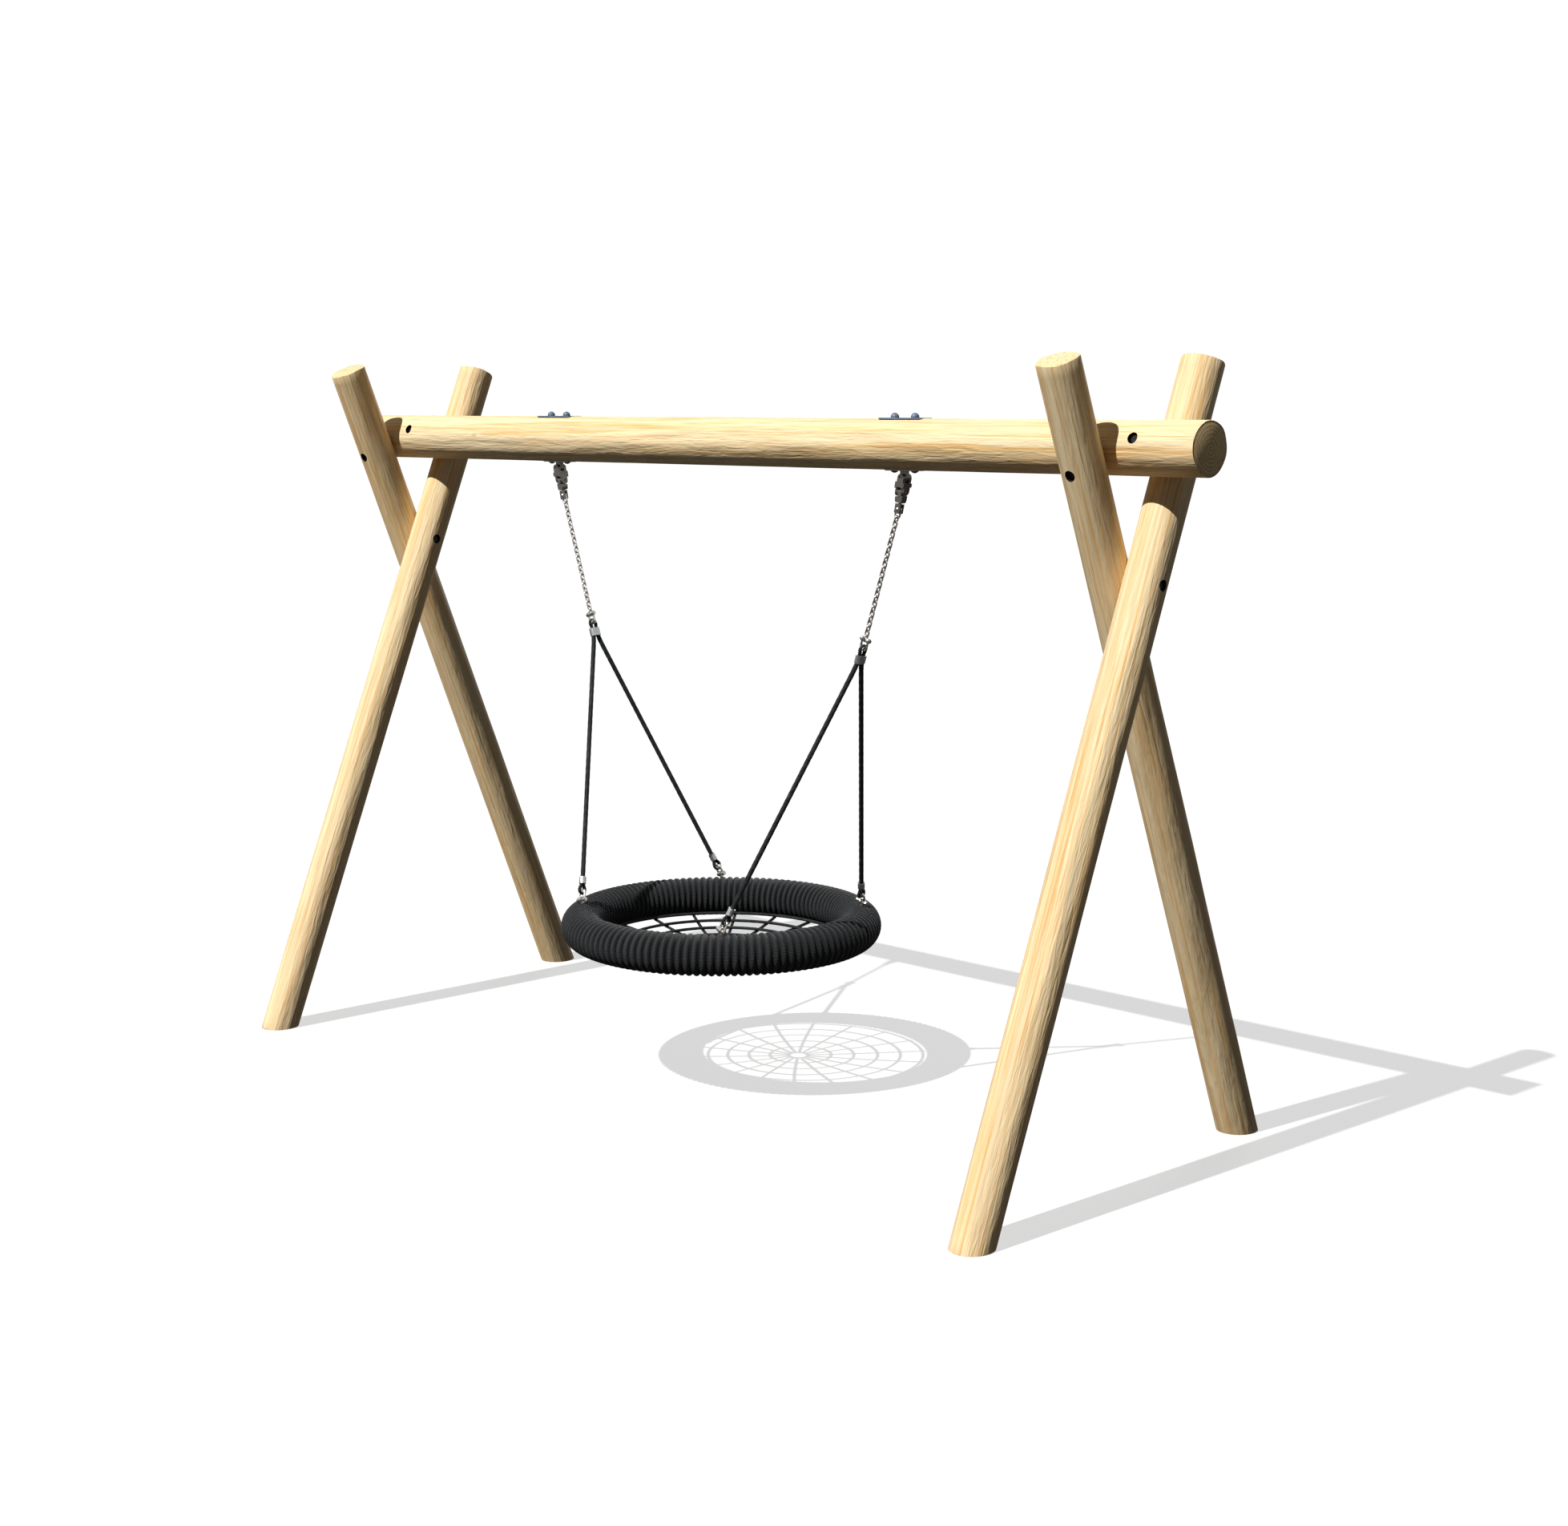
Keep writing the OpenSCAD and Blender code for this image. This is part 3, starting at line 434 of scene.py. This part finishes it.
def clear():
    """Leaves edit mode and selects nothing."""
    if bpy.context.object and bpy.context.object.mode != "OBJECT":
        bpy.ops.object.mode_set(mode="OBJECT")
    for thing in bpy.context.selected_objects:
        thing.select_set(False)


def only(piece):
    """Selects one piece and nothing else."""
    clear()
    piece.select_set(True)
    bpy.context.view_layer.objects.active = piece


def pick(piece, kind, test):
    """Goes into edit mode with only the vertices selected that pass the test, or the edges whose
    two ends pass it together."""
    bpy.ops.object.mode_set(mode="OBJECT")
    mesh = piece.data
    for group in (mesh.vertices, mesh.edges, mesh.polygons):
        group.foreach_set("select", [False] * len(group))
    if kind == "VERT":
        for v in mesh.vertices:
            v.select = test(v.co)
    else:
        for e in mesh.edges:
            e.select = test(mesh.vertices[e.vertices[0]].co, mesh.vertices[e.vertices[1]].co)
    bpy.ops.object.mode_set(mode="EDIT")
    bpy.ops.mesh.select_mode(type=kind)


def apply_modifier(piece, kind, **settings):
    """Puts a modifier on a piece and applies it."""
    only(piece)
    change = piece.modifiers.new(kind.lower(), kind)
    for name, value in settings.items():
        setattr(change, name, value)
    bpy.ops.object.modifier_apply(modifier=change.name)


def cut_away(piece, cutter, lining=None):
    """Cuts the cutter's shape out of a piece. A lining is the finish that the cut's own faces get."""
    if lining:
        cutter.data.materials.append(lining)
    apply_modifier(piece, "BOOLEAN", operation="DIFFERENCE", solver="EXACT",
                   material_mode="TRANSFER", object=cutter)
    bpy.data.objects.remove(cutter)


def place(piece, matrix):
    """Puts a piece where it belongs, with its place in its mesh."""
    only(piece)
    piece.matrix_world = matrix
    bpy.ops.object.transform_apply(location=True, rotation=True, scale=True)


def hand_over(piece, name, body, finish, slot, *nodes, angle=40):
    """Names a finished piece, gives it its finish and lets it ride on its body."""
    only(piece)
    bpy.ops.object.mode_set(mode="EDIT")
    bpy.ops.mesh.select_all(action="SELECT")
    bpy.ops.mesh.remove_doubles(threshold=0.00001)
    bpy.ops.mesh.normals_make_consistent(inside=False)
    bpy.ops.object.mode_set(mode="OBJECT")
    bpy.ops.object.shade_smooth_by_angle(angle=math.radians(angle))
    piece.name = piece.data.name = name
    if not piece.data.materials:
        piece.data.materials.append(finish)
    piece.data.materials[0] = finish
    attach(piece, body)
    if nodes:
        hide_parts(*nodes)
    return piece


def bar(radius, matrix, low, high, sides=36):
    """A plain round cutter from low to high along z of a place."""
    bpy.ops.mesh.primitive_cylinder_add(vertices=sides, radius=radius, depth=high - low,
                                        location=(0, 0, (low + high) / 2))
    cutter = bpy.context.object
    bpy.ops.object.transform_apply(location=True, rotation=True, scale=True)
    place(cutter, matrix)
    return cutter


def sweep_rope(thick, strands, lay, line, closed=False):
    """Strands laid round each other along a line: a lobed ring screwed to the line's length, then bent
    to it."""
    clear()
    bpy.ops.mesh.primitive_circle_add(vertices=strands * 3, radius=thick / 2)
    rope = bpy.context.object
    # Every third point of the ring is drawn in, to the valley between two strands
    valley = 2 * math.pi / strands
    pick(rope, "VERT",
         lambda co: abs(math.remainder(math.atan2(co.y, co.x), valley)) < valley / 6)
    bpy.ops.transform.resize(value=(VALLEY, VALLEY, 1), center_override=(0, 0, 0))
    bpy.ops.object.mode_set(mode="OBJECT")
    legs = list(zip(line, line[1:] + line[:1])) if closed else list(zip(line, line[1:]))
    length = sum((b - a).length for a, b in legs)
    turns = round(length / lay) if closed else length / lay
    steps = max(4, round(turns * LAY_STEPS))
    apply_modifier(rope, "SCREW", axis="Z", angle=2 * math.pi * turns, screw_offset=length,
                   steps=steps, render_steps=steps, iterations=1,
                   use_merge_vertices=False, use_normal_calculate=False)
    if not closed:
        for end in (0, length):
            pick(rope, "EDGE", lambda a, b: abs(a.z - end) < 1e-6 and abs(b.z - end) < 1e-6)
            bpy.ops.mesh.edge_face_add()
    clear()
    way = bpy.data.curves.new("way", "CURVE")
    way.dimensions = "3D"
    way.twist_mode = "MINIMUM"
    spline = way.splines.new("POLY")
    spline.points.add(len(line) - 1)
    for point, p in zip(spline.points, line):
        point.co = (*p, 1)
    spline.use_cyclic_u = closed
    guide = bpy.data.objects.new("way", way)
    bpy.context.scene.collection.objects.link(guide)
    apply_modifier(rope, "CURVE", object=guide, deform_axis="POS_Z")
    bpy.data.objects.remove(guide)
    return rope


def joined(parts):
    """Joins pieces into the first of them."""
    clear()
    for part in parts:
        part.select_set(True)
    bpy.context.view_layer.objects.active = parts[0]
    bpy.ops.object.join()
    return parts[0]


# ---- Ropes: two runs and an eye on each side, and an eye at each lug ----

def mirrored(side, turn=1):
    """The mirror that takes the right rear to the left, with side -1, or to the front, with turn -1."""
    return Matrix.Diagonal((side, turn, 1, 1))


def bridle_place(side):
    """The apex, with z up along the middle of the bridle."""
    return mirrored(side) @ Matrix.Translation(APEX) @ Matrix.Rotation(BRIDLE_LEAN, 4, "Y")


def rope_place(side, turn):
    """A lug's pin, with z up along its rope."""
    return (mirrored(side, turn) @ Matrix.Translation(LUG) @ Matrix.Rotation(ROPE_TILT, 4, "X")
            @ Matrix.Rotation(ROPE_SIDE, 4, "Y"))


def eye_way(spread, down):
    """The middle line of an eye in y and z: up one leg, over the arc and down the other."""
    under = math.atan2(down, spread) - math.acos(EYE_LINE / math.hypot(spread, down))
    arc = [-under + k * (math.pi + 2 * under) / EYE_STEPS for k in range(EYE_STEPS + 1)]
    over = [Vector((0, EYE_LINE * math.cos(a), EYE_LINE * math.sin(a))) for a in arc]
    first = Vector((0, spread, -down))
    last = Vector((0, -spread, -down))
    return ([first.lerp(over[0], k / LEG_STEPS) for k in range(LEG_STEPS)] + over
            + [over[-1].lerp(last, k / LEG_STEPS) for k in range(1, LEG_STEPS + 1)])


for side, word in ((-1, "left"), (1, "right")):
    upper = bridle_place(side)
    for turn, end in ((-1, "front"), (1, "rear")):
        lower = rope_place(side, turn)
        low = lower @ Vector((0, 0, RUN_LOW))
        fork = lower @ Vector((0, 0, ROPE_LEN))
        high = upper @ Vector((0, turn * ROPE_HALF, -RUN_HIGH))
        before = fork + (low - fork).normalized() * RUN_BEND
        bend = [before * (1 - t) ** 2 + fork * 2 * t * (1 - t) + high * t * t
                for t in (k / BEND_STEPS for k in range(BEND_STEPS + 1))]
        way = [low.lerp(before, k / RUN_STEPS) for k in range(RUN_STEPS)] + bend
        way.reverse()
        run = hand_over(sweep_rope(2 * ROPE_R, ROPE_STRANDS, ROPE_LAY, way),
                        f"rope_run_{word}_{end}", "basket", rope_finish, "rope_black",
                        f"rope_{word}", angle=SOFT_EDGE)
        loop = [lower @ Vector((0, p.y, SHACKLE_LEN - p.z))
                for p in eye_way(LOW_EYE_HALF, LOW_EYE_LEG)]
        hand_over(sweep_rope(2 * EYE_R, EYE_STRANDS, EYE_LAY, loop), f"rope_eye_{word}_{end}",
                  "basket", rope_finish, "rope_black", angle=SOFT_EDGE)
    loop = [upper @ p for p in eye_way(ROPE_HALF, HIGH_EYE_LEG)]
    hand_over(sweep_rope(2 * EYE_R, EYE_STRANDS, EYE_LAY, loop), f"rope_eye_{word}",
              "basket", rope_finish, "rope_black", angle=SOFT_EDGE)


# ---- The net ----

def on_bowl(share, angle, lift=0):
    """A point of the net's bowl: share of the net's radius, angle round it, height over the spokes."""
    lean = math.asin(share * NET_RHO / BOWL_R)
    r = BOWL_R - lift
    out = r * math.sin(lean)
    return Vector((out * math.cos(angle), out * math.sin(angle), BOWL_Z - r * math.cos(lean)))


def on_hoop(share, steps, lift=0):
    """The points of a level circle on that bowl."""
    return [on_bowl(share, 2 * math.pi * k / steps, lift) for k in range(steps)]


spokes = []
first = (NET_EYE_R + NET_EYE_TUBE_R + GAP) / NET_RHO
for k in range(SPOKES):
    angle = (k + 0.5) * 2 * math.pi / SPOKES
    way = [on_bowl(first + j * (NET_REACH - first) / SPOKE_STEPS, angle)
           for j in range(SPOKE_STEPS + 1)]
    spokes.append(sweep_rope(2 * CORD_R, CORD_STRANDS, CORD_LAY, way))
hand_over(joined(spokes), "net_spoke_cords", "basket", cord_finish, "net_cord", "net_spokes",
          angle=SOFT_EDGE)
# The hoops lie on top of the spokes
hoops = [sweep_rope(2 * CORD_R, CORD_STRANDS, CORD_LAY,
                    on_hoop(share, HOOP_STEPS, 2 * CORD_R + GAP), closed=True)
         for share in HOOPS]
hand_over(joined(hoops), "net_hoop_cords", "basket", cord_finish, "net_cord", "net_hoops",
          angle=SOFT_EDGE)
centre = sweep_rope(2 * NET_EYE_TUBE_R, NET_EYE_STRANDS, CORD_LAY,
                    on_hoop(NET_EYE_R / NET_RHO, NET_EYE_STEPS), closed=True)
hand_over(centre, "net_centre_ring", "basket", cord_finish, "net_cord", "net_eye",
          angle=SOFT_EDGE)


# ---- The wound ring: one turn of rope, copied round the ring ----

clear()
pitch = 2 * math.pi / TURNS
bpy.ops.mesh.primitive_circle_add(vertices=RING_SIDES, radius=RING_TUBE,
                                  location=(RING_R, 0, RING_Z), rotation=(math.pi / 2, 0, 0))
ring = bpy.context.object
bpy.ops.object.transform_apply(location=True, rotation=True, scale=True)
bpy.ops.object.mode_set(mode="EDIT")
bpy.ops.mesh.select_all(action="SELECT")
bpy.ops.mesh.spin(steps=TURN_STEPS, angle=pitch, center=(0, 0, RING_Z), axis=(0, 0, 1))
bpy.ops.object.mode_set(mode="OBJECT")
low_angle = min(math.atan2(v.co.y, v.co.x) for v in ring.data.vertices)
near = pitch / 20
# The tube is at its full size in the middle of a turn and dips to a valley at both its sides
for step in range(TURN_STEPS + 1):
    here = low_angle + step * pitch / TURN_STEPS
    across = 2 * step / TURN_STEPS - 1
    size = 1 - TURN_DIP / RING_TUBE * (1 - math.cos(across * math.pi / 2))
    middle = (RING_R * math.cos(here), RING_R * math.sin(here), RING_Z)
    pick(ring, "VERT", lambda co: abs(math.atan2(co.y, co.x) - here) < near)
    bpy.ops.transform.resize(value=(size, size, size), center_override=middle)
bpy.ops.mesh.select_all(action="SELECT")
bpy.ops.mesh.spin(steps=TURNS - 1, angle=pitch * (TURNS - 1), dupli=True,
                  center=(0, 0, RING_Z), axis=(0, 0, 1))
bpy.ops.object.mode_set(mode="OBJECT")
hand_over(ring, "ring_winding", "basket", ring_finish, "wrap_rope",
          "ring_wrap", "ring_foam", "ring_tube", angle=50)


# ---- The logs ----

uneven = bpy.data.textures.new("uneven_log", "CLOUDS")
uneven.noise_scale = LOG_BUMPS
uneven.noise_depth = 2


def round_log(radius, length, bumps_at, finish):
    """A peeled log with its foot at the origin: a cylinder with eased ends and a slightly uneven
    round."""
    clear()
    bpy.ops.mesh.primitive_cylinder_add(vertices=LOG_SIDES, radius=radius - LOG_UNDER, depth=length,
                                        location=(0, 0, length / 2))
    log = bpy.context.object
    log.data.materials.append(finish)
    bpy.ops.object.transform_apply(location=True, rotation=True, scale=True)
    pick(log, "EDGE", lambda a, b: abs(a.z - b.z) < 1e-6)
    bpy.ops.mesh.bevel(offset=LOG_EASE, segments=2, affect="EDGES")
    pick(log, "EDGE", lambda a, b: abs(a.z - b.z) > length / 2)
    bpy.ops.mesh.subdivide(number_cuts=round(length / LOG_FACE))
    bpy.ops.mesh.select_all(action="SELECT")
    # The surface is worked while the log is short and moved aside, so its bumps come out long and
    # each log has its own
    bpy.ops.transform.resize(value=(1, 1, LOG_SHORT), center_override=(0, 0, 0))
    bpy.ops.transform.translate(value=(0, 0, bumps_at))
    apply_modifier(log, "DISPLACE", texture=uneven, texture_coords="LOCAL", strength=LOG_UNEVEN,
                   mid_level=0.5)
    bpy.ops.object.mode_set(mode="EDIT")
    bpy.ops.mesh.select_all(action="SELECT")
    bpy.ops.transform.translate(value=(0, 0, -bumps_at))
    bpy.ops.transform.resize(value=(1, 1, 1 / LOG_SHORT), center_override=(0, 0, 0))
    bpy.ops.object.mode_set(mode="OBJECT")
    return log


def leg_x(side, foot):
    """Where a leg's axis lies along the beam. foot is -1 for the front leg and 1 for the rear."""
    return side * FRAME_X - foot * LEG_SIDE


def leg_place(side, foot):
    """The crossing, with z up along a leg."""
    return (Matrix.Translation((leg_x(side, foot), 0, CROSS_Z))
            @ Matrix.Rotation(foot * LEG_LEAN, 4, "X"))


def beam_bolt_place(side, foot):
    """A leg's outer side, with z in through the leg and the beam."""
    out = BOLT_REACH * math.cos(LEG_LEAN)
    down = BOLT_REACH * math.sin(LEG_LEAN)
    return (Matrix.Translation((leg_x(side, foot), -foot * out, BEAM_Z - down))
            @ Matrix.Rotation(-foot * (math.pi / 2 - LEG_LEAN), 4, "X"))


def cross_bolt_place(side):
    """The crossing's right side, with z to the left through both legs."""
    return (Matrix.Translation((leg_x(side, -1) + LEG_R, 0, CROSS_Z))
            @ Matrix.Rotation(-math.pi / 2, 4, "Y"))


beam_place = Matrix.Translation((-BEAM_HALF, 0, BEAM_Z)) @ Matrix.Rotation(math.pi / 2, 4, "Y")
for side, word in ((-1, "left"), (1, "right")):
    for foot, end in ((-1, "front"), (1, "rear")):
        # Each leg has its own stretch of the grain and of the bumps
        grain_at = (leg_x(side, foot), 0, CROSS_Z + side * 0.7 + foot * 0.3)
        finish = peeled_larch(f"peeled_larch_leg_{word}_{end}", grain_at,
                              (foot * LEG_LEAN, 0, 0), LEG_R)
        bumps_at = 3 + side * 1.3 + foot * 0.6
        leg = round_log(LEG_R, LEG_BELOW + LEG_ABOVE, bumps_at, finish)
        place(leg, leg_place(side, foot) @ Matrix.Translation((0, 0, -LEG_BELOW)))
        bpy.ops.object.mode_set(mode="EDIT")
        bpy.ops.mesh.select_all(action="SELECT")
        bpy.ops.mesh.bisect(plane_co=(0, 0, 0), plane_no=(0, 0, 1), use_fill=True, clear_inner=True)
        bpy.ops.object.mode_set(mode="OBJECT")
        saddle = bar(BEAM_R + GAP, beam_place, -SADDLE_CLEAR, 2 * BEAM_HALF + SADDLE_CLEAR,
                     SADDLE_SIDES)
        cut_away(leg, saddle)
        # The sunk holes are lined with near-black painted shade
        cut_away(leg, bar(SINK_R, beam_bolt_place(side, foot), -SINK_CLEAR, SINK_DEEP), hole_shade)
        if foot < 0:
            sink = bar(SINK_R, cross_bolt_place(side), -SINK_CLEAR, SINK_DEEP)
        else:
            sink = bar(SINK_R, cross_bolt_place(side), CROSS_BOLT - SINK_DEEP,
                       CROSS_BOLT + SINK_CLEAR)
        cut_away(leg, sink, hole_shade)
        hand_over(leg, f"log_leg_{word}_{end}", "frame", finish, "log_wood", f"leg_{word}_{end}")
beam_finish = peeled_larch("peeled_larch_beam", (0, 0, BEAM_Z), (0, math.pi / 2, 0), BEAM_R)
beam = round_log(BEAM_R, 2 * BEAM_HALF, 9.4, beam_finish)
place(beam, beam_place)
for side in (-1, 1):
    for foot in (-1, 1):
        # The sunk holes are lined with near-black painted shade
        sink = bar(SINK_R, beam_bolt_place(side, foot), BEAM_BOLT - SINK_DEEP,
                   BEAM_BOLT + SINK_CLEAR)
        cut_away(beam, sink, hole_shade)
    for low, high, half in ((PLATE_TOP, PLATE_TOP + FLAT_CLEAR, FLAT_TOP_HALF),
                            (PLATE_LOW - FLAT_CLEAR, PLATE_LOW, FLAT_LOW_HALF)):
        clear()
        bpy.ops.mesh.primitive_cube_add(size=1, location=(side * HANGER_X, 0, (low + high) / 2),
                                        scale=(2 * half, FLAT_ACROSS, high - low))
        cut_away(beam, bpy.context.object)
hand_over(beam, "log_beam", "frame", beam_finish, "log_wood", "beam")


# ---- Finishes on the metal and plastic parts ----

FINISHES = {
    bolt_coat: ("frame_bolts", "frame_washers", "frame_nuts"),
    slate_blue: ("top_plate_left", "top_plate_right", "cap_nuts"),
    hanger_coat: ("hanger_bolts", "hanger_base_left", "hanger_base_right", "upper_pins",
                  "gimbal_left", "gimbal_right", "lower_pins", "clevis_left", "clevis_right",
                  "swivel_left", "swivel_right", "swivel_collars"),
    stainless: ("swivel_pins", "chain_left", "chain_right", "apex_shackle_left",
                "apex_shackle_right", "apex_pins", "thimbles_upper", "thimbles_lower",
                "ring_shackles", "ring_shackle_pins", "ring_lugs"),
    aluminium: ("ferrule_left", "ferrule_right", "ferrules_lower"),
    bronze: ("clevis_bushes",),
}
for finish, names in FINISHES.items():
    for name in names:
        NODES[name].data.materials.clear()
        NODES[name].data.materials.append(finish)


# ---- Floor and sky ----

clear()
# The floor lies half a millimetre under the feet
bpy.ops.mesh.primitive_plane_add(size=80, location=(0, 0, -0.0005))
floor = bpy.context.object
floor.name = "floor"
white, tree, shader = start("pale_floor")
# The floor is white to look at and gives the swing only a little light from below, as a large matt
# studio floor does
looked_at = add(tree, "LightPath").outputs["Is Camera Ray"]
tone = add(tree, "MapRange", {"Value": looked_at, 3: 0.04, 4: 0.31}).outputs[0]
lift = add(tree, "MapRange", {"Value": looked_at, 3: 0, 4: 0.625}).outputs[0]
tell(white, tree, shader, Base_Color=tone, Roughness=0.9, Specular_IOR_Level=0.1,
     Emission_Color=(1, 1, 1, 1), Emission_Strength=lift)
floor.data.materials.append(white)
floor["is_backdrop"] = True
sky = bpy.data.worlds.new("studio")
bpy.context.scene.world = sky
sky.use_nodes = True
# The sky is white to look at and bright in the gloss of the metal, and it lights the shaded sides
# only a little
ray = add(sky.node_tree, "LightPath").outputs
level = add(sky.node_tree, "MapRange", {"Value": ray["Is Camera Ray"], 3: 0.05, 4: 1.05}).outputs[0]
level = add(sky.node_tree, "Math", {0: ray["Is Glossy Ray"], 1: 0.6, 2: level},
            operation="MULTIPLY_ADD").outputs[0]
background = sky.node_tree.nodes["Background"]
background.inputs["Color"].default_value = (1, 1, 1, 1)
sky.node_tree.links.new(level, background.inputs["Strength"])

low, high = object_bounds()
